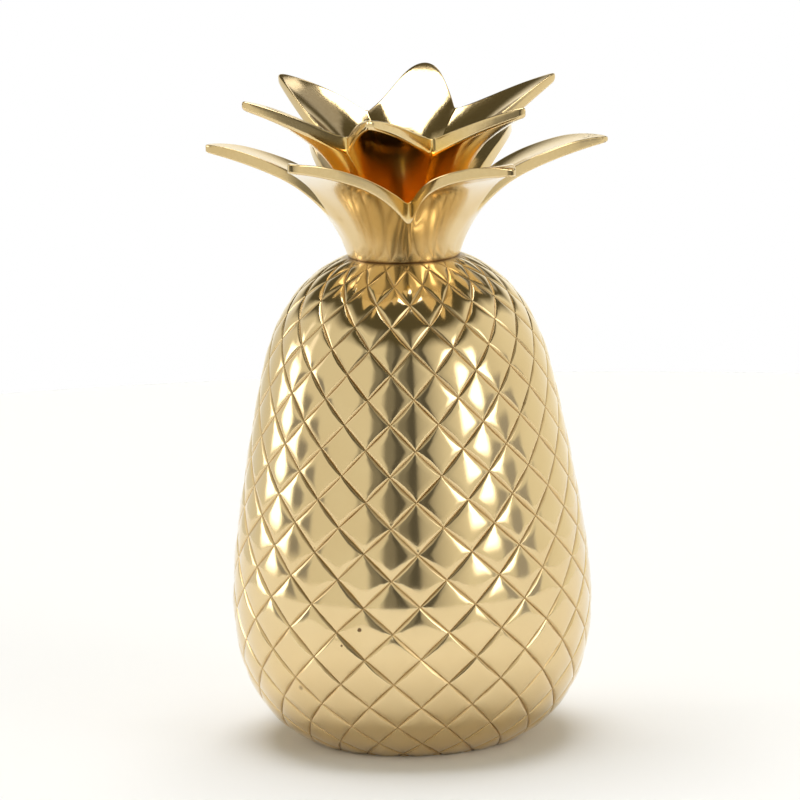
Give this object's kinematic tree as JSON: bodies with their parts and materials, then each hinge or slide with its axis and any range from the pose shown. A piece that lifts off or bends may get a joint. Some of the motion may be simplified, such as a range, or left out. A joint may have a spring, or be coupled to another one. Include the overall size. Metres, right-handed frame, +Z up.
{
  "type": "candlestick",
  "caption": "Polished brass candlestick in the shape of a pineapple, with a hollow diamond-cut body, a felt-lined foot and flaring leaf crowns around the candle socket.",
  "frame": {"origin": "centre of the foot, on the surface that the candlestick stands on", "axes": "+Z up along the candle, -Y towards the front, +X to the right seen from the front"},
  "size_m": [0.1182, 0.1066, 0.1952],
  "materials": {
    "polished_brass": "polished lacquered casting, darker in the cuts",
    "steel": "zinc plated",
    "felt": "dense wool felt"
  },
  "bodies": {
    "root": {"body": "polished_brass", "lower_crown": "polished_brass", "upper_crown": "polished_brass", "crown_screw": "steel", "flat_washer": "steel", "spring_washer": "steel", "hex_nut": "steel", "base_disc": "steel", "base_felt": "felt"}
  },
  "joints": []
}
